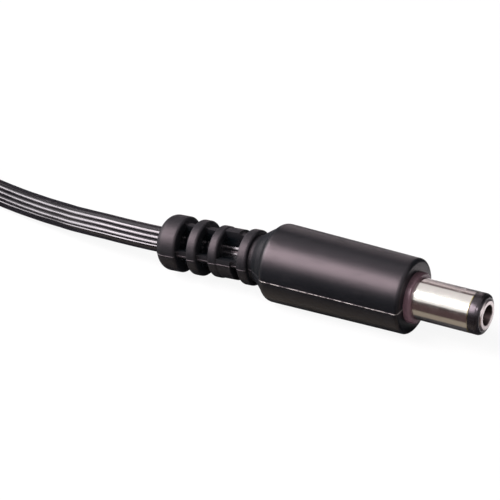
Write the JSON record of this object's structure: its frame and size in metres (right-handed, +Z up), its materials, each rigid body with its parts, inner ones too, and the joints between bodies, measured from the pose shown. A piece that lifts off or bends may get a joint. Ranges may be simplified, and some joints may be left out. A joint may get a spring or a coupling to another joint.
{
  "type": "dc barrel plug",
  "caption": "Moulded dc barrel plug: round handle, windowed strain relief, plated sleeve and centre contact, on a tied flat twin lead with tinned ends",
  "frame": {"origin": "on the plug's axis, in the front face of the collar, where the metal sleeve comes out and a socket's face stops", "axes": "+X along the plug's axis, out of its tip; +Z up, away from the surface that the handle and the lead lie on"},
  "size_m": [0.159, 0.0273, 0.0124],
  "materials": {
    "pvc_black": "satin moulded PVC",
    "inner_black": "satin moulded plastic",
    "nickel": "bright nickel plating",
    "nose_black": "semi-gloss moulded plastic",
    "tag_plate": "tinned stamped brass",
    "washer": "plain laminate",
    "solder": "dull solder",
    "copper": "bare stranded copper",
    "flex_black": "glossy extruded PVC",
    "tinned": "tinned strands",
    "tie_black": "plastic coated wire"
  },
  "bodies": {
    "root": {"overmould": "pvc_black", "inner_mould": "inner_black", "outer_barrel": "nickel", "tip_insulator": "nose_black", "centre_contact": "nickel", "sleeve_tag": "tag_plate", "rear_washer": "washer", "centre_tag": "tag_plate", "sleeve_solder": "solder", "centre_solder": "solder", "sleeve_strands": "copper", "centre_strands": "copper", "sleeve_core": "flex_black", "centre_core": "flex_black", "relief_flex": "flex_black", "flex_run": "flex_black", "flex_hank": "flex_black", "hank_tie": "tie_black", "tail_core_a": "flex_black", "tail_core_b": "flex_black", "tail_wire_a": "tinned", "tail_wire_b": "tinned"}
  },
  "joints": []
}
